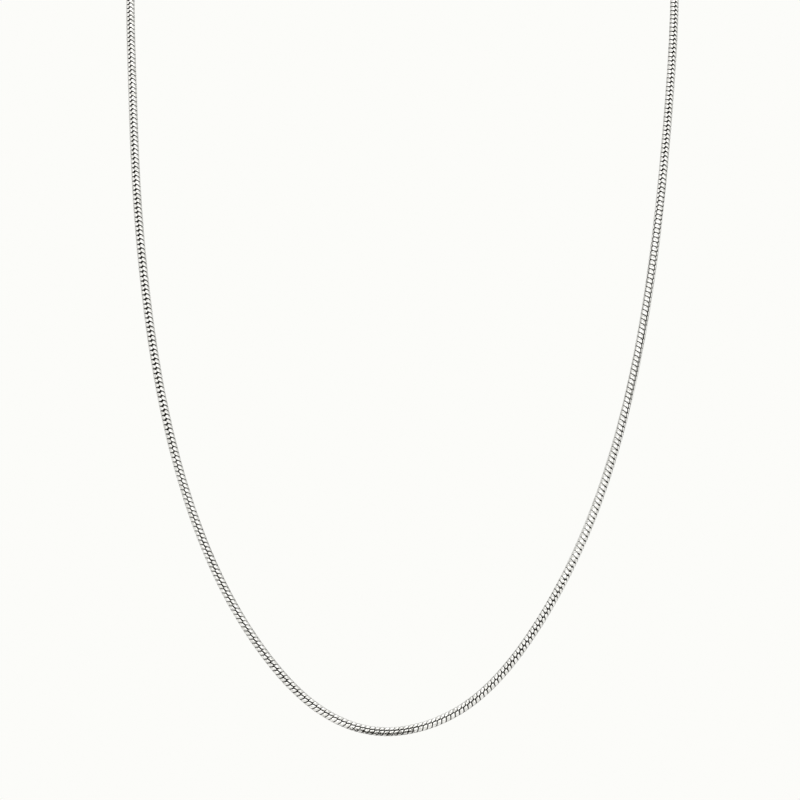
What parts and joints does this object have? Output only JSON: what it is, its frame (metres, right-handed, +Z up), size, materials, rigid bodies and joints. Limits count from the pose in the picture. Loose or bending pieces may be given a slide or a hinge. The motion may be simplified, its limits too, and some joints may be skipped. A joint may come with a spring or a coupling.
{
  "type": "snake chain necklace",
  "caption": "Round snake chain necklace, a supple silver rope of short wavy links, closed at the nape by a plain round clasp between two capped ends.",
  "frame": {"origin": "middle of the clasp at the nape, where the worn chain hangs", "axes": "+Z up, +X to the wearer's left, the front of the long U faces -Y"},
  "size_m": [0.0949, 0.0973, 0.1762],
  "materials": {
    "chain_silver": "polished silver links with dark grooves between them",
    "cap_silver": "polished silver with a fine turned grain",
    "clasp_silver": "polished silver wire"
  },
  "bodies": {
    "root": {"chain": "chain_silver", "end_cap_left": "cap_silver", "end_cap_right": "cap_silver", "clasp": "clasp_silver"}
  },
  "joints": []
}
